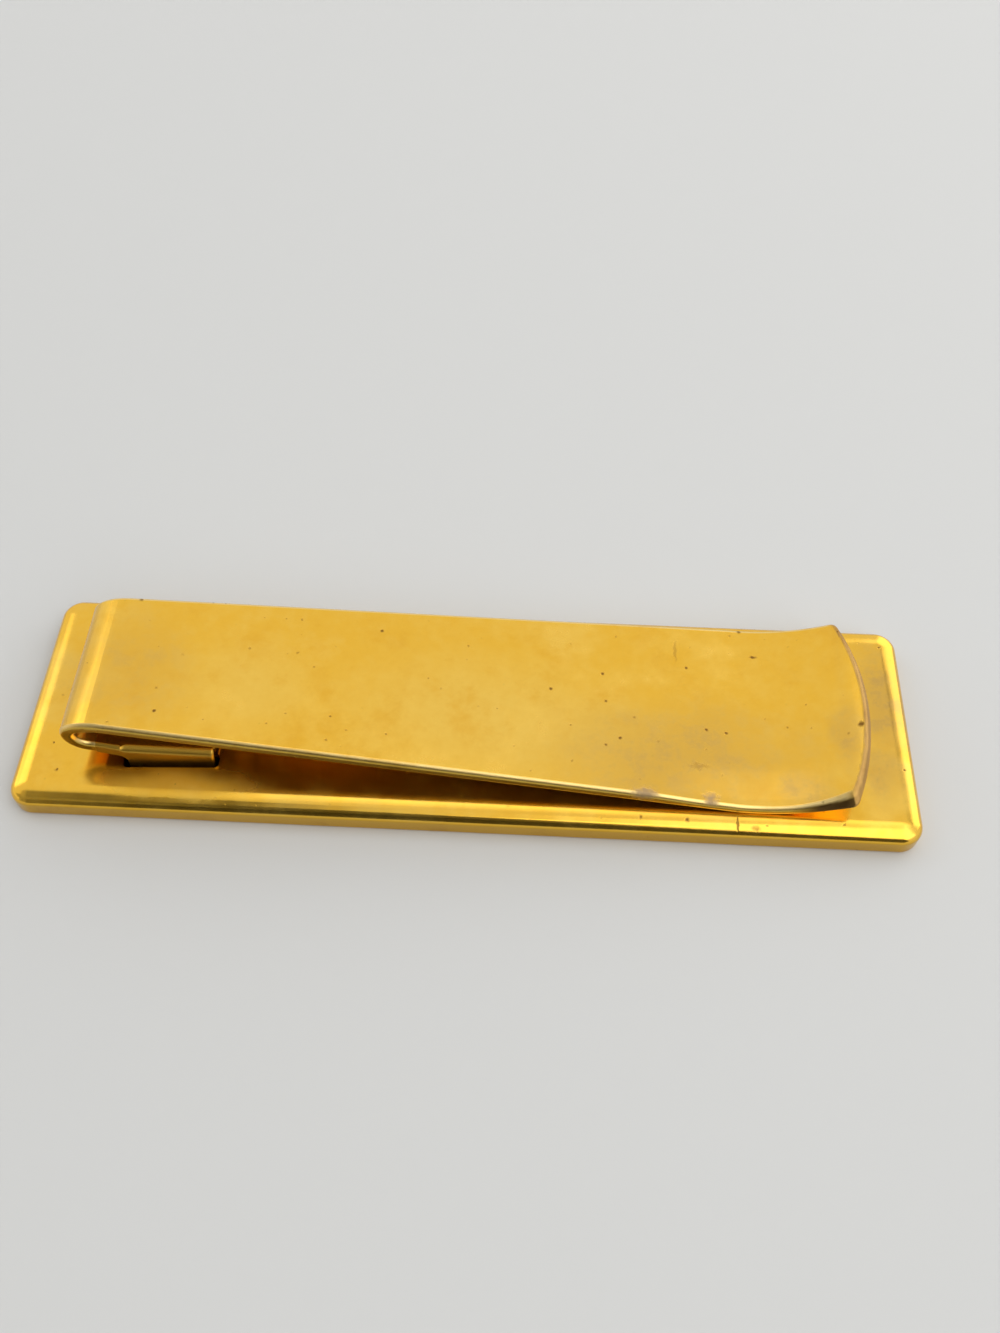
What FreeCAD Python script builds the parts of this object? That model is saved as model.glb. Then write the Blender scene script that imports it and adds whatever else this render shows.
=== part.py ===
import FreeCAD, Part
import math
import os

# A tie clip lying face down: a shallow pressed tray with a panel set in its front, and a hairpin
# strip spring on its back. Millimetres. The origin is the middle of the front face, +X runs from
# the rolled end of the spring to its free end, and +Z points out of the back.

# Tray and its front lip
plate_length = 50.0
plate_width = 13.8
plate_corner_radius = 1.2
back_edge_radius = 0.8
front_edge_radius = 0.2
tray_wall = 0.35
lip_thickness = 0.25
lip_width = 0.75
window_corner_radius = 0.45

# Face panel
panel_thickness = 0.3
panel_clearance = 0.05

# Spring strip
strip_thickness = 0.8
strip_roll_width = 8.6
strip_lip_width = 11.7
roll_radius = 1.55
roll_inset = 3.2
foot_rise = 0.8
arm_length = 35.2
lip_bend_radius = 12.0
lip_length = 7.7
lip_end_bulge = 1.25
lip_corner_radius = 0.3
rest_gap = 0.1

# Ears of the foot and the slots that they pass through
ear_start = 1.8
ear_length = 4.8
ear_flare = 0.25
ear_thickness = 0.5
ear_bend_radius = 0.5
ear_fold_length = 1.2
ear_fold_inset = 0.3
ear_clearance = 0.2
slot_front_gap = 0.2
slot_end_gap = 0.25
slot_back_gap = 0.04
slot_corner_radius = 0.25

# How far a cutting body runs past the face that it cuts
overrun = 0.5
# How near two heights count as one level
level_tolerance = 0.001
# The largest fillet that a wall or a corner takes
fillet_share = 0.95

# Sizes and places that follow: the tray is as deep as its lip, the panel and the folded ears need
plate_depth = lip_thickness + panel_thickness + ear_clearance + ear_thickness + tray_wall
wall_underside = plate_depth - tray_wall
roll_x = roll_inset + roll_radius - plate_length / 2
roll_z = plate_depth + foot_rise + roll_radius
inner_radius = roll_radius - strip_thickness
mid_radius = roll_radius - strip_thickness / 2
foot_length = ear_start + ear_length
taper = (strip_lip_width - strip_roll_width) / 2 / arm_length
fold_underside = wall_underside - ear_thickness


def spring_tilt():
    """Angle in degrees that lays the lowest line of the lip on the back, but for the rest gap."""
    reach = inner_radius + lip_bend_radius
    drop = plate_depth + rest_gap + lip_bend_radius - roll_z
    span = math.hypot(reach, arm_length)
    return math.degrees(math.acos(drop / span) - math.atan2(arm_length, reach))


tilt = spring_tilt()


def vector(x, y, z):
    return FreeCAD.Vector(x, y, z)


def limited(radius, *walls):
    """A fillet radius that its walls can take."""
    return min(radius, fillet_share * min(walls))


def upright_edges(shape):
    return [e for e in shape.Edges if e.BoundBox.ZLength > max(e.BoundBox.XLength, e.BoundBox.YLength)]


def level_edges(shape, height):
    flat = [e for e in shape.Edges if e.BoundBox.ZLength < level_tolerance]
    return [e for e in flat if abs(e.BoundBox.ZMin - height) < level_tolerance]


def rounded_plate(length, width, height, radius, base):
    """A centred plate with rounded corners, standing on the given level."""
    plate = Part.makeBox(length, width, height, vector(-length / 2, -width / 2, base))
    return plate.makeFillet(limited(radius, length / 2, width / 2), upright_edges(plate))


def prism(points, travel):
    """The solid that a flat outline of points sweeps along a vector."""
    return Part.Face(Part.makePolygon(points + points[:1])).extrude(travel)


def seat_spring(shape):
    """Tilt a spring piece, modelled about the middle of the roll, and set it on the back."""
    shape.rotate(vector(0, 0, 0), vector(0, 1, 0), tilt)
    shape.translate(vector(roll_x, 0, roll_z))
    return shape


def arm_half_width(run):
    """Half the strip's width on the arm, at a distance from the roll."""
    return strip_roll_width / 2 + taper * run


def foot_half_width(run):
    """Half the strip's width on the foot: the taper goes on, and the foot flares to its ears."""
    flare = ear_flare * min(run / ear_start, 1)
    return strip_roll_width / 2 - taper * (math.pi * mid_radius + run) + flare


def ear_place(run, height):
    """Where an ear, at a distance along the foot, crosses a level of the tray."""
    lean = math.radians(tilt)
    return roll_x + run / math.cos(lean) + (height - roll_z) * math.tan(lean)


def ear_strip(side, first, last, shift, outer, inner):
    """Corners, seen from above, of a strip along an ear between two distances on the foot."""
    start = ear_place(first, wall_underside) - shift
    end = ear_place(last, wall_underside) + shift
    ends = ((first, start), (last, end))
    outside = [(x, side * (foot_half_width(run) + outer)) for run, x in ends]
    inside = [(x, side * (foot_half_width(run) - inner)) for run, x in reversed(ends)]
    return outside + inside


def slot(side):
    """The opening in the back wall round one ear."""
    depth = tray_wall + overrun
    corners = ear_strip(side, ear_start, foot_length, slot_end_gap, slot_front_gap,
                        ear_thickness + slot_back_gap)
    body = prism([vector(x, y, wall_underside - overrun / 2) for x, y in corners], vector(0, 0, depth))
    width = ear_thickness + slot_front_gap + slot_back_gap
    return body.makeFillet(limited(slot_corner_radius, width / 2), upright_edges(body))


def back_tray():
    """Tray with rounded back edges, its lip turned in at the front, and two slots for the ears."""
    outer = rounded_plate(plate_length, plate_width, plate_depth, plate_corner_radius, 0)
    back_radius = limited(back_edge_radius, plate_corner_radius, plate_depth - front_edge_radius)
    outer = outer.makeFillet(back_radius, level_edges(outer, plate_depth))
    outer = outer.makeFillet(limited(front_edge_radius, lip_thickness), level_edges(outer, 0))
    hollow = rounded_plate(plate_length - 2 * tray_wall, plate_width - 2 * tray_wall,
                           wall_underside - lip_thickness, plate_corner_radius - tray_wall, lip_thickness)
    hollow = hollow.makeFillet(limited(back_edge_radius - tray_wall, plate_corner_radius - tray_wall,
                                       wall_underside - lip_thickness),
                               level_edges(hollow, wall_underside))
    window = rounded_plate(plate_length - 2 * lip_width, plate_width - 2 * lip_width,
                           lip_thickness + 2 * overrun, window_corner_radius, -overrun)
    tray = outer.cut(hollow).cut(window)
    for side in (-1, 1):
        tray = tray.cut(slot(side))
    return tray


def face_panel():
    """Plain panel behind the lip, with its field flush with the lip's front."""
    border = rounded_plate(plate_length - 2 * (tray_wall + panel_clearance),
                           plate_width - 2 * (tray_wall + panel_clearance),
                           panel_thickness, plate_corner_radius - tray_wall - panel_clearance,
                           lip_thickness)
    field = rounded_plate(plate_length - 2 * (lip_width + panel_clearance),
                          plate_width - 2 * (lip_width + panel_clearance),
                          lip_thickness, window_corner_radius, 0)
    return border.fuse(field).removeSplitter()


def foot_strip(first, last):
    """A flat stretch of the foot between two distances from the roll, before it is seated."""
    ends = [(first, foot_half_width(first)), (last, foot_half_width(last))]
    outline = [vector(run, half, -roll_radius) for run, half in ends]
    outline += [vector(run, -half, -roll_radius) for run, half in reversed(ends)]
    return prism(outline, vector(0, 0, strip_thickness))


def ear_leg(side):
    """The leg of one ear, straight down from the foot's upper face, before it is seated."""
    corners = ((ear_start, 0), (foot_length, 0), (foot_length, ear_thickness), (ear_start, ear_thickness))
    outline = [vector(run, side * (foot_half_width(run) - depth), -inner_radius) for run, depth in corners]
    return prism(outline, vector(0, 0, -(strip_thickness + foot_rise + plate_depth)))


def ear_fold(side):
    """The end of one ear, folded in under the back wall."""
    corners = ear_strip(side, ear_start, foot_length, -ear_fold_inset, -ear_thickness / 2,
                        ear_thickness + ear_fold_length)
    return prism([vector(x, y, fold_underside) for x, y in corners], vector(0, 0, ear_thickness))


def bend_edges(saddle):
    """The two long upper edges, over the legs of the ears."""
    upper = level_edges(saddle, -inner_radius)
    return [e for e in upper if e.BoundBox.XLength > e.BoundBox.YLength]


def spring_foot():
    """Lower leg of the hairpin, held to the tray by an ear bent down on each side."""
    saddle = foot_strip(ear_start, foot_length).fuse([ear_leg(-1), ear_leg(1)]).removeSplitter()
    bend = limited(ear_bend_radius, ear_thickness + strip_thickness / 2)
    saddle = seat_spring(saddle.makeFillet(bend, bend_edges(saddle)))
    room = Part.makeBox(plate_length, plate_width, roll_z,
                        vector(-plate_length / 2, -plate_width / 2, fold_underside))
    root = seat_spring(foot_strip(0, ear_start))
    return saddle.common(room).fuse([root, ear_fold(-1), ear_fold(1)]).removeSplitter()


def spring_roll():
    """Half turn that joins the two legs, narrowing towards the foot."""
    end = vector(0, -strip_lip_width / 2, 0)
    outside = Part.makeCylinder(roll_radius, strip_lip_width, end, vector(0, 1, 0))
    inside = Part.makeCylinder(inner_radius, strip_lip_width, end, vector(0, 1, 0))
    middle = (arm_half_width(0) + foot_half_width(0)) / 2
    lean = (arm_half_width(0) - foot_half_width(0)) / 2 * roll_radius / mid_radius
    outline = [vector(0, -(middle - lean), -roll_radius), vector(0, middle - lean, -roll_radius),
               vector(0, middle + lean, roll_radius), vector(0, -(middle + lean), roll_radius)]
    trim = prism(outline, vector(-(roll_radius + overrun), 0, 0))
    return seat_spring(outside.cut(inside).common(trim))


def arm_profile():
    """Side view of the arm and its upturned lip."""
    turn = lip_length / lip_bend_radius
    centre_z = inner_radius + lip_bend_radius

    def on_lip(share, radius):
        angle = turn * share
        return vector(arm_length + radius * math.sin(angle), 0, centre_z - radius * math.cos(angle))

    upper_radius = lip_bend_radius - strip_thickness
    under = [on_lip(share, lip_bend_radius) for share in (0, 1 / 2, 1)]
    upper = [on_lip(share, upper_radius) for share in (1, 1 / 2, 0)]
    start_low = vector(0, 0, inner_radius)
    start_high = vector(0, 0, roll_radius)
    lines = [Part.LineSegment(start_low, under[0]), Part.Arc(*under),
             Part.LineSegment(under[2], upper[0]), Part.Arc(*upper),
             Part.LineSegment(upper[2], start_high), Part.LineSegment(start_high, start_low)]
    return Part.Face(Part.Wire([line.toShape() for line in lines]))


def lip_waste():
    """What is cut off square to the lip, to leave the arm's convex end."""
    half = strip_lip_width / 2
    arc = [vector(-lip_end_bulge, -half, 0), vector(0, 0, 0), vector(-lip_end_bulge, half, 0)]
    corners = [arc[2], vector(-lip_end_bulge, half + overrun, 0), vector(overrun, half + overrun, 0),
               vector(overrun, -half - overrun, 0), vector(-lip_end_bulge, -half - overrun, 0), arc[0]]
    edges = [Part.Arc(*arc).toShape(), *Part.makePolygon(corners).Edges]
    waste = Part.Face(Part.Wire(edges)).extrude(vector(0, 0, strip_thickness + 2 * overrun))
    waste.translate(vector(0, 0, -overrun))
    turn = lip_length / lip_bend_radius
    waste.rotate(vector(0, 0, 0), vector(0, 1, 0), -math.degrees(turn))
    waste.translate(vector(arm_length + lip_bend_radius * math.sin(turn), 0,
                           inner_radius + lip_bend_radius * (1 - math.cos(turn))))
    return waste


def corner_edges(arm):
    """The two short edges where the arm's sides meet its convex end."""
    beyond = [e for e in arm.Edges if e.CenterOfMass.x > arm_length + lip_length / 2]
    return [e for e in beyond if e.BoundBox.YLength < level_tolerance and e.Length < 2 * strip_thickness]


def spring_arm():
    """Upper leg of the hairpin: a flat arm that widens to an upturned lip with a convex end."""
    half = strip_lip_width / 2
    reach = arm_length + lip_length + overrun
    ends = [(0, strip_roll_width / 2), (arm_length, half), (reach, half)]
    outline = [vector(run, wide, 0) for run, wide in ends]
    outline += [vector(run, -wide, 0) for run, wide in reversed(ends)]
    blank = prism(outline, vector(0, 0, roll_radius + lip_length))
    bent = arm_profile().extrude(vector(0, 2 * strip_lip_width, 0))
    bent.translate(vector(0, -strip_lip_width, 0))
    arm = bent.common(blank).cut(lip_waste())
    arm = arm.makeFillet(limited(lip_corner_radius, half), corner_edges(arm))
    return seat_spring(arm.removeSplitter())


pieces = {
    "back_tray": back_tray,
    "face_panel": face_panel,
    "spring_foot": spring_foot,
    "spring_roll": spring_roll,
    "spring_arm": spring_arm,
}

os.makedirs("parts", exist_ok=True)
for name, make in pieces.items():
    piece = make()
    piece.exportStep("parts/" + name + ".step")
    box = piece.BoundBox
    print(name, len(piece.Solids), "solid", piece.isValid(), round(piece.Volume, 3),
          [round(v, 3) for v in (box.XMin, box.XMax, box.YMin, box.YMax, box.ZMin, box.ZMax)])
print("tilt", round(tilt, 3), "hinge", round(roll_x, 3), round(roll_z, 3))
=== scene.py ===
"""Looks of a gilt tie clip that lies face down: a pressed tray, its face panel and a hairpin spring.

Every piece is modelled in millimetres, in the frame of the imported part, and brought to metres at the end.
"""

import logging
import math
from collections.abc import Callable, Iterable, Iterator, Sequence
from contextlib import contextmanager
from dataclasses import dataclass, field
from enum import Enum
from functools import cache

import bmesh
import bpy
from mathutils import Matrix, Quaternion, Vector


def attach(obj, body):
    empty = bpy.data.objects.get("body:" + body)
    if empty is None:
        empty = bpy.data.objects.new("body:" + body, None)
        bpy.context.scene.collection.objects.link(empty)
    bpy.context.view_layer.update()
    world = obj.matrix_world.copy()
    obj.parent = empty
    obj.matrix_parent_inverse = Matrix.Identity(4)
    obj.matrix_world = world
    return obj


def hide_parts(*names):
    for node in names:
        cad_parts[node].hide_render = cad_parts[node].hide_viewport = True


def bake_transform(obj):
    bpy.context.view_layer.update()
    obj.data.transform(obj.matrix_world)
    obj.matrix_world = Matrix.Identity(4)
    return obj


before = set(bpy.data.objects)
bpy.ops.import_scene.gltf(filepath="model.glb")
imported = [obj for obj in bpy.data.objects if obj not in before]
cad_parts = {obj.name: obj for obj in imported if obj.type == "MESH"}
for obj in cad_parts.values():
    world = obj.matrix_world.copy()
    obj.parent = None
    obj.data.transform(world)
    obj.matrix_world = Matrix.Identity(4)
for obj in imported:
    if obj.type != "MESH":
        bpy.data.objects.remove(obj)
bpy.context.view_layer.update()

log = logging.getLogger("tie_clip")

METRES_PER_MM = 0.001
# Points closer than this, in millimetres, count as one.
NEAR = 1e-4
# How far, in millimetres, a point of the foot may lie from the line of its side.
SIDE_NEAR = 1e-3
# A face looks along an axis where its normal has more than this along it.
FACING = 0.9
# A face is a side where its normal has less than this along an axis.
SLANTED = 0.75
# An edge is sharp where its faces turn by more than this, in radians.
SHARP = 0.5
# Moves the origin of every pattern off the clip, in metres.
PATTERN_SHIFT = 0.1

Colour = tuple[float, float, float]
Point = Sequence[float]


class Pick(Enum):
    """What a selection is made of, as the select modes of edit mode."""

    POINTS = (True, False, False)
    EDGES = (False, True, False)
    FACES = (False, False, True)


class Keep(Enum):
    """The side of a cutting plane that stays."""

    FRONT = "front"
    BEHIND = "behind"


class Combine(Enum):
    """How one solid acts on another."""

    CUT = "DIFFERENCE"
    WELD = "UNION"


class Body(Enum):
    """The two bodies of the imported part."""

    PLATE = "plate"
    ARM = "arm"


class Slot(Enum):
    """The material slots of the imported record."""

    TRAY = "tray_gold"
    PANEL = "panel_gold"
    SPRING = "spring_gold"


class Zone(Enum):
    """Zones of a piece with colours and roughness of their own, as the names of mesh attributes: wear, and
    painted light and shade where noted.
    """

    # Upright walls of the tray, darker: painted shade.
    WALL = "wall"
    # Undersides of the strip, paler: painted light.
    UNDER = "under"
    SIDE = "side"
    # Rims of the strip, paler: rubbed wear, and a painted highlight along them.
    RIM = "rim"
    # Inside and under the roll, and the foot's sides and ears under the arm, darker: painted shade; also
    # rougher.
    DULL = "dull"
    # Under the foot and on the front rim below the lip, near black: painted shade.
    TARNISH = "tarnish"
    END = "end"


@dataclass(frozen=True)
class Band:
    """A range of a measure over which a zone of wear comes in."""

    low: float
    high: float

    def rise(self, value: float) -> float:
        """Rise smoothly from 0 at the low end to 1 at the high end."""
        share = min(max((value - self.low) / (self.high - self.low), 0.0), 1.0)
        return share * share * (3.0 - 2.0 * share)


class Bench:
    """Operators that start, cut, round and finish one piece at a time, in millimetres."""

    CHAMFER_STRIPS = 1
    CORNER_STRIPS = 14
    UPPER_STRIPS = 8
    LOWER_STRIPS = 5
    SMOOTH_ANGLE = math.radians(35.0)
    LARGE_FACE_WEIGHT = 100

    @staticmethod
    def clear() -> None:
        """Deselect everything, in object mode."""
        if bpy.context.object is not None and bpy.context.object.mode != "OBJECT":
            bpy.ops.object.mode_set(mode="OBJECT")
        bpy.ops.object.select_all(action="DESELECT")

    @staticmethod
    def hold(piece: bpy.types.Object) -> None:
        """Make one piece the only selected object, and the active one.

        Args:
            piece: The piece to hold.
        """
        Bench.clear()
        piece.select_set(True)
        bpy.context.view_layer.objects.active = piece

    @staticmethod
    def settle() -> None:
        """Put the place, turn and size of the held piece into its mesh."""
        bpy.ops.object.transform_apply(location=True, rotation=True, scale=True)

    @staticmethod
    @contextmanager
    def editing(piece: bpy.types.Object) -> Iterator[None]:
        """Hold a piece in edit mode with nothing selected.

        Args:
            piece: The mesh object to edit.
        """
        Bench.hold(piece)
        bpy.ops.object.mode_set(mode="EDIT")
        bpy.ops.mesh.select_all(action="DESELECT")
        yield
        bpy.ops.object.mode_set(mode="OBJECT")

    @staticmethod
    def pick(piece: bpy.types.Object, kind: Pick, test: Callable[..., bool]) -> None:
        """Select the points, edges or faces of an edited piece that pass a test.

        Args:
            piece: The piece in edit mode.
            kind: What is selected.
            test: Takes one point, edge or face and says whether it is wanted.
        """
        bpy.context.tool_settings.mesh_select_mode = kind.value
        bpy.ops.mesh.select_all(action="DESELECT")
        mesh = bmesh.from_edit_mesh(piece.data)
        mesh.normal_update()
        parts = {Pick.POINTS: mesh.verts, Pick.EDGES: mesh.edges, Pick.FACES: mesh.faces}[kind]
        wanted = [part for part in parts if not part.hide and test(part)]
        for part in wanted:
            part.select_set(True)
        mesh.select_flush_mode()
        bmesh.update_edit_mesh(piece.data)

    @staticmethod
    def block(name: str, low: Point, high: Point) -> bpy.types.Object:
        """Add a block between two corners.

        Args:
            name: Name of the new object.
            low: Lowest corner.
            high: Highest corner.

        Returns:
            The block, with its place and size in its mesh.
        """
        Bench.clear()
        middle = [(a + b) / 2 for a, b in zip(low, high)]
        bpy.ops.mesh.primitive_cube_add(size=1.0, location=middle)
        piece = bpy.context.object
        piece.name = name
        piece.data.name = name
        piece.scale = [b - a for a, b in zip(low, high)]
        Bench.settle()
        return piece

    @staticmethod
    def copy(piece: bpy.types.Object, name: str) -> bpy.types.Object:
        """Copy a piece with a mesh of its own.

        Args:
            piece: The piece to copy.
            name: Name of the copy.

        Returns:
            The copy.
        """
        Bench.hold(piece)
        bpy.ops.object.duplicate()
        twin = bpy.context.object
        twin.name = name
        twin.data.name = name
        return twin

    @staticmethod
    def cut(place: Point, normal: Point, keep: Keep | None = None, whole: bool = True) -> None:
        """Cut the edited piece along a plane.

        Args:
            place: A point on the plane.
            normal: The plane's normal.
            keep: Which side stays, closed by a new face; both stay where this is None.
            whole: Whether the whole piece is cut, or only what is selected.
        """
        if whole:
            bpy.ops.mesh.select_all(action="SELECT")
        bpy.ops.mesh.bisect(plane_co=place, plane_no=normal, use_fill=keep is not None,
                            clear_inner=keep is Keep.FRONT, clear_outer=keep is Keep.BEHIND,
                            threshold=NEAR)

    @staticmethod
    def cut_across(places: Iterable[float]) -> None:
        """Cut the edited strip across at some places along X, and keep all of it."""
        for place in places:
            Bench.cut((place, 0.0, 0.0), (1.0, 0.0, 0.0))

    @staticmethod
    def round_edges(radius: float, strips: int) -> None:
        """Round the selected edges of the edited piece, in some strips."""
        bpy.ops.mesh.bevel(offset=radius, offset_type="OFFSET", segments=strips, profile=0.5,
                           affect="EDGES", clamp_overlap=False)

    @staticmethod
    def round_level(piece: bpy.types.Object, level: float, radius: float, strips: int) -> None:
        """Round the edges of an edited piece that lie at one height, unless the radius is zero.

        Args:
            piece: The piece in edit mode.
            level: The height of the edges.
            radius: Radius of the rounding.
            strips: How many strips the rounding has.
        """
        if radius > 0:
            Bench.pick(piece, Pick.EDGES, lambda e: all(abs(v.co.z - level) < NEAR for v in e.verts))
            Bench.round_edges(radius, strips)

    @staticmethod
    def rounded_block(name: str, low: Point, high: Point, corner: float, top: float = 0.0,
                      bottom: float = 0.0) -> bpy.types.Object:
        """Make a flat block with rounded corners and rounded upper and lower edges.

        Args:
            name: Name of the new object.
            low: Lowest corner.
            high: Highest corner.
            corner: Radius of the four upright edges.
            top: Radius of the upper edges, or zero.
            bottom: Radius of the lower edges, or zero.

        Returns:
            The block.
        """
        piece = Bench.block(name, low, high)
        with Bench.editing(piece):
            Bench.pick(piece, Pick.EDGES, lambda e: abs(e.verts[0].co.z - e.verts[1].co.z) > NEAR)
            Bench.round_edges(corner, Bench.CORNER_STRIPS)
            Bench.round_level(piece, high[2], top, Bench.UPPER_STRIPS)
            Bench.round_level(piece, low[2], bottom, Bench.LOWER_STRIPS)
        return piece

    @staticmethod
    def combine(piece: bpy.types.Object, other: bpy.types.Object, how: Combine) -> None:
        """Cut another solid out of a piece, or weld it on, and take the other away.

        Args:
            piece: The piece that stays.
            other: The solid that is used up.
            how: Whether it is cut out or welded on.
        """
        Bench.hold(piece)
        step = piece.modifiers.new("combine", "BOOLEAN")
        step.operation = how.value
        step.solver = "EXACT"
        step.object = other
        bpy.ops.object.modifier_apply(modifier=step.name)
        bpy.data.objects.remove(other)

    @staticmethod
    def finish(piece: bpy.types.Object) -> None:
        """Close and smooth a piece and bring it to metres.

        Args:
            piece: The piece, modelled in millimetres.
        """
        with Bench.editing(piece):
            bpy.ops.mesh.select_all(action="SELECT")
            bpy.ops.mesh.remove_doubles(threshold=NEAR)
            bpy.ops.mesh.dissolve_degenerate(threshold=NEAR)
            bpy.ops.mesh.select_all(action="SELECT")
            bpy.ops.mesh.normals_make_consistent(inside=False)
        Bench.hold(piece)
        bpy.ops.object.shade_smooth_by_angle(angle=Bench.SMOOTH_ANGLE)
        step = piece.modifiers.new("even_normals", "WEIGHTED_NORMAL")
        step.keep_sharp = True
        step.weight = Bench.LARGE_FACE_WEIGHT
        bpy.ops.object.modifier_apply(modifier=step.name)
        piece.scale = (METRES_PER_MM,) * 3
        Bench.settle()

    @staticmethod
    def mark_zones(piece: bpy.types.Object, levels: Callable[[Vector, Vector], dict[Zone, float]]) -> None:
        """Write how far each zone of wear or of painted light and shade reaches every face corner of a
        finished piece.

        Args:
            piece: The finished piece.
            levels: Takes a corner's place in millimetres and its normal, and gives the level of
                each zone, from 0 to 1.
        """
        mesh = piece.data
        found = [levels(mesh.vertices[corner.vertex_index].co / METRES_PER_MM, normal.vector)
                 for corner, normal in zip(mesh.loops, mesh.corner_normals)]
        for zone in found[0]:
            layer = mesh.attributes.new(zone.value, "FLOAT", "CORNER")
            layer.data.foreach_set("value", [level[zone] for level in found])

    @staticmethod
    def coat(piece: bpy.types.Object, *finishes: bpy.types.Material) -> None:
        """Give a piece its finishes, the first one all over.

        Args:
            piece: The piece.
            finishes: Its materials, in the order of their slots.
        """
        piece.data.materials.clear()
        for finish in finishes:
            piece.data.materials.append(finish)


def hang(name: str, data: bpy.types.ID) -> bpy.types.Object:
    """Put a new object into the scene.

    Args:
        name: Name of the object.
        data: The curve, lamp or camera that it shows.

    Returns:
        The object.
    """
    hung = bpy.data.objects.new(name, data)
    bpy.context.scene.collection.objects.link(hung)
    return hung


class Nodes:
    """A node tree that is filled node by node."""

    COLUMN_WIDTH = 180

    def __init__(self, tree: bpy.types.NodeTree) -> None:
        """Keep the tree and start its first column."""
        self.tree = tree
        self.column = 0

    def add(self, kind: str, **settings: object) -> bpy.types.Node:
        """Add a node.

        Args:
            kind: The node's type name.
            settings: Properties of the node, set as they are named.

        Returns:
            The new node.
        """
        node = self.tree.nodes.new(kind)
        self.column += 1
        node.location = (self.COLUMN_WIDTH * self.column, 0)
        for name, value in settings.items():
            setattr(node, name, value)
        return node

    def feed(self, node: bpy.types.Node, **inputs: object) -> bpy.types.Node:
        """Link or set a node's inputs.

        Args:
            node: The node to feed.
            inputs: A socket to link or a value to set, by input name with _ for a blank, or by i and number.

        Returns:
            The same node.
        """
        for name, value in inputs.items():
            numbered = name[0] == "i" and name[1:].isdigit()
            socket = node.inputs[int(name[1:])] if numbered else node.inputs[name.replace("_", " ")]
            if isinstance(value, bpy.types.NodeSocket):
                self.tree.links.new(value, socket)
            else:
                socket.default_value = value
        return node

    def math(self, operation: str, a: object, b: object, clamp: bool = False) -> bpy.types.NodeSocket:
        """Work out one sum, named as in the Math node, held between 0 and 1 where clamp is set."""
        node = self.add("ShaderNodeMath", operation=operation, use_clamp=clamp)
        return self.feed(node, i0=a, i1=b).outputs[0]

    def times(self, a: object, b: object, clamp: bool = False) -> bpy.types.NodeSocket:
        """Multiply two values or sockets."""
        return self.math("MULTIPLY", a, b, clamp)

    def vector(self, operation: str, a: object, b: object = (0.0, 0.0, 0.0)) -> bpy.types.Node:
        """Work out one vector sum; the node's first output is a vector, its second a number."""
        return self.feed(self.add("ShaderNodeVectorMath", operation=operation), i0=a, i1=b)

    def noise(self, place: bpy.types.NodeSocket, **values: object) -> bpy.types.Node:
        """Add noise that reads some coordinates, with its own values."""
        return self.feed(self.add("ShaderNodeTexNoise"), Vector=place, **values)

    def ramp(self, value: object, low: object, high: object, start: object = 0.0,
             end: object = 1.0) -> bpy.types.NodeSocket:
        """Map a value from low and high to start and end, smoothly and held at the ends."""
        node = self.add("ShaderNodeMapRange", interpolation_type="SMOOTHSTEP")
        return self.feed(node, Value=value, From_Min=low, From_Max=high, To_Min=start, To_Max=end).outputs[0]

    def blend(self, share: object, a: object, b: object) -> bpy.types.NodeSocket:
        """Mix two colours.

        Args:
            share: How much of the second colour shows, from 0 to 1.
            a: First colour or socket.
            b: Second colour or socket.

        Returns:
            The socket that gives the mixed colour.
        """
        node = self.add("ShaderNodeMix", data_type="RGBA")
        wide = [(*c, 1.0) if isinstance(c, tuple) else c for c in (a, b)]
        return self.feed(node, i0=share, i6=wide[0], i7=wide[1]).outputs[2]


def new_material(name: str) -> tuple[bpy.types.Material, Nodes, bpy.types.Node]:
    """Start a material.

    Args:
        name: Name of the material.

    Returns:
        The material, its nodes and its surface shader.
    """
    made = bpy.data.materials.new(name)
    made.use_nodes = True
    return made, Nodes(made.node_tree), made.node_tree.nodes["Principled BSDF"]


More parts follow.
